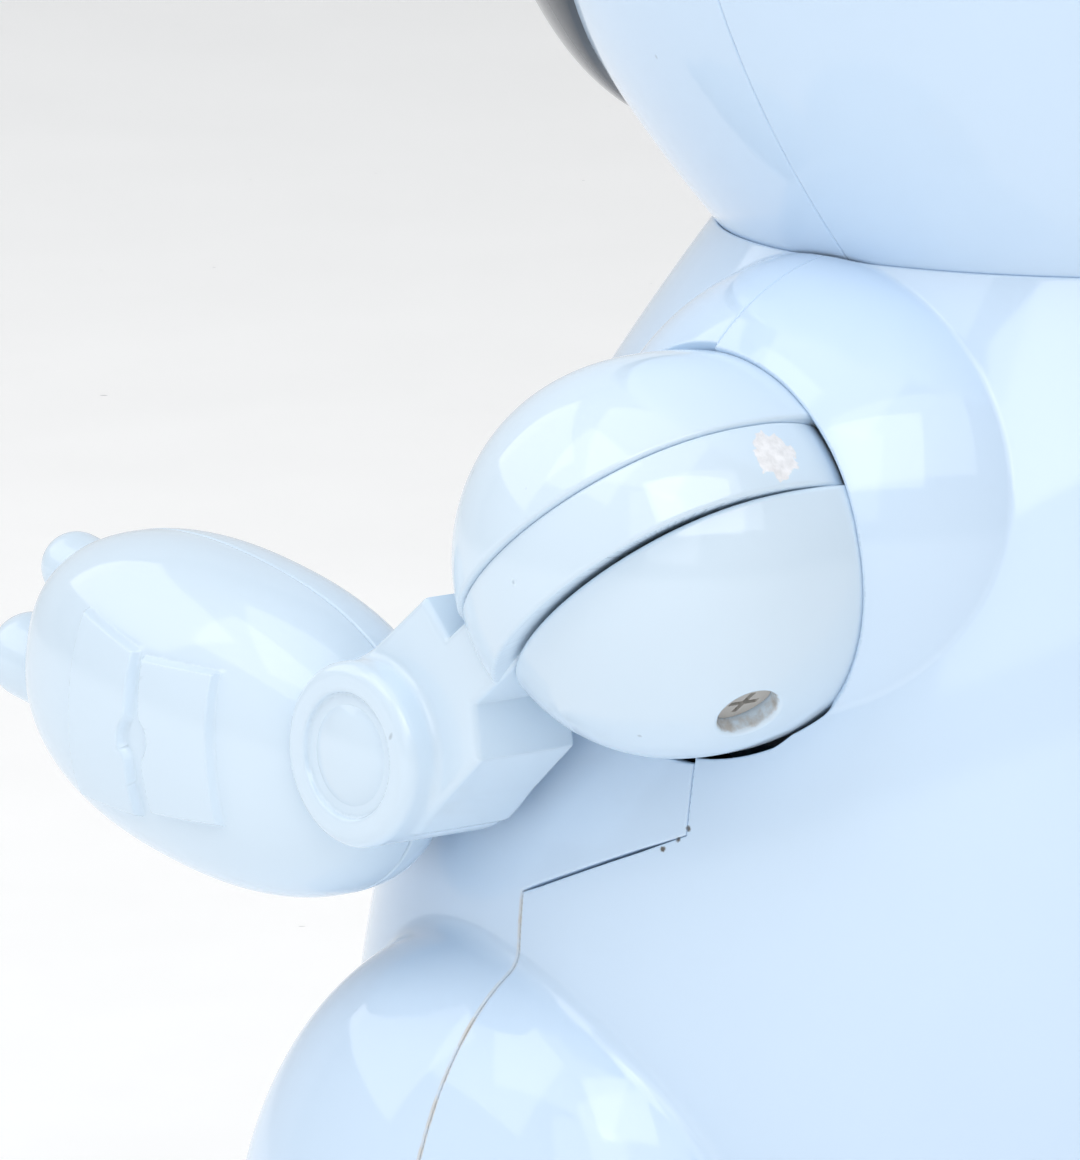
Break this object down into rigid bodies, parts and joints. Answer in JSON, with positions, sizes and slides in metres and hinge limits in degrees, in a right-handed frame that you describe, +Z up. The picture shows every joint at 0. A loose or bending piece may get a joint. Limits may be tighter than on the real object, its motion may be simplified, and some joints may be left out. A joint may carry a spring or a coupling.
{
  "type": "toy humanoid robot",
  "caption": "Toy humanoid robot with a round head and visor, pear-shaped body, swinging layered shoulders, hinged mitten hands and a wheeled base.",
  "frame": {"origin": "middle of the bounding box at floor level", "axes": "+Z up, the robot faces -Y, its left hand is at +X"},
  "size_m": [0.183, 0.175, 0.2685],
  "materials": {
    "shell": "gloss moulded plastic",
    "visor": "high gloss",
    "lens": "clear tinted, glossy",
    "inner_plastic": "matte moulded",
    "base_plastic": "fine texture",
    "board": "solder mask",
    "cell": "heat shrink",
    "steel": "plated",
    "motor": "plated can",
    "gearbox": "moulded",
    "tyre_rubber": "matte rubber",
    "white_plastic": "gloss",
    "button_plastic": "gloss",
    "black_plastic": "matte"
  },
  "bodies": {
    "torso": {"torso_front_shell": "shell", "torso_rear_shell": "shell", "rear_panel": "shell", "base_plate": "base_plastic", "battery_door": "base_plastic", "battery_pack": "cell", "main_board": "board", "speaker": "black_plastic", "charge_socket": "black_plastic", "switch_body": "black_plastic", "chest_bezel": "white_plastic", "chest_switch": "board", "neck_bush": "inner_plastic", "left_shoulder_bush": "inner_plastic", "right_shoulder_bush": "inner_plastic", "left_shoulder_motor": "motor", "right_shoulder_motor": "motor", "left_drive_motor": "gearbox", "right_drive_motor": "gearbox", "base_screws": "steel", "roller_axle": "steel"},
    "head": {"head_front_shell": "shell", "head_rear_shell": "shell", "face_visor": "visor", "eye_lenses": "lens", "face_board": "board", "head_chassis": "inner_plastic", "neck_tube": "inner_plastic"},
    "left_arm": {"left_arm_core": "shell", "left_cover_front": "shell", "left_cover_rear": "shell", "left_shoulder_shaft": "steel", "left_cover_screw": "steel", "left_wrist_pin": "shell"},
    "left_hand": {"left_hand_outer": "shell", "left_hand_inner": "shell", "left_fingers": "shell"},
    "left_wheel": {"left_wheel_hub": "white_plastic", "left_tyre": "tyre_rubber", "left_axle": "steel"},
    "right_arm": {"right_arm_core": "shell", "right_cover_front": "shell", "right_cover_rear": "shell", "right_shoulder_shaft": "steel", "right_cover_screw": "steel", "right_wrist_pin": "shell"},
    "right_hand": {"right_hand_outer": "shell", "right_hand_inner": "shell", "right_fingers": "shell"},
    "right_wheel": {"right_wheel_hub": "white_plastic", "right_tyre": "tyre_rubber", "right_axle": "steel"},
    "roller": {"tail_roller": "black_plastic"},
    "switch": {"power_knob": "white_plastic"},
    "button": {"chest_button": "button_plastic"}
  },
  "joints": [
    {"name": "head_turn", "type": "hinge", "parent": "torso", "child": "head", "pos_m": [0, 0.01708, 0.156], "axis": [0, 0, 1], "range_deg": [-45, 45]},
    {"name": "left_shoulder", "type": "hinge", "parent": "torso", "child": "left_arm", "pos_m": [0.06, 0.01708, 0.1255], "axis": [1, 0, 0], "range_deg": [-55, 2]},
    {"name": "left_wrist", "type": "hinge", "parent": "left_arm", "child": "left_hand", "pos_m": [0.0785, -0.01239, 0.10247], "axis": [1, 0, 0], "range_deg": [-20, 12]},
    {"name": "left_wheel_spin", "type": "hinge", "parent": "torso", "child": "left_wheel", "pos_m": [0.062, -0.02292, 0.017], "axis": [1, 0, 0], "continuous": true},
    {"name": "right_shoulder", "type": "hinge", "parent": "torso", "child": "right_arm", "pos_m": [-0.06, 0.01708, 0.1255], "axis": [1, 0, 0], "range_deg": [-55, 2]},
    {"name": "right_wrist", "type": "hinge", "parent": "right_arm", "child": "right_hand", "pos_m": [-0.0785, -0.01239, 0.10247], "axis": [1, 0, 0], "range_deg": [-20, 12]},
    {"name": "right_wheel_spin", "type": "hinge", "parent": "torso", "child": "right_wheel", "pos_m": [-0.062, -0.02292, 0.017], "axis": [1, 0, 0], "continuous": true},
    {"name": "tail_roller_spin", "type": "hinge", "parent": "torso", "child": "roller", "pos_m": [0, 0.03708, 0.006], "axis": [1, 0, 0], "continuous": true},
    {"name": "power_switch", "type": "slide", "parent": "torso", "child": "switch", "axis": [1, 0, 0], "range_m": [0, 0.0052]},
    {"name": "chest_press", "type": "slide", "parent": "torso", "child": "button", "axis": [0, 0.8942, -0.4478], "range_m": [0, 0.0012], "stiffness_N_per_m": 400}
  ]
}
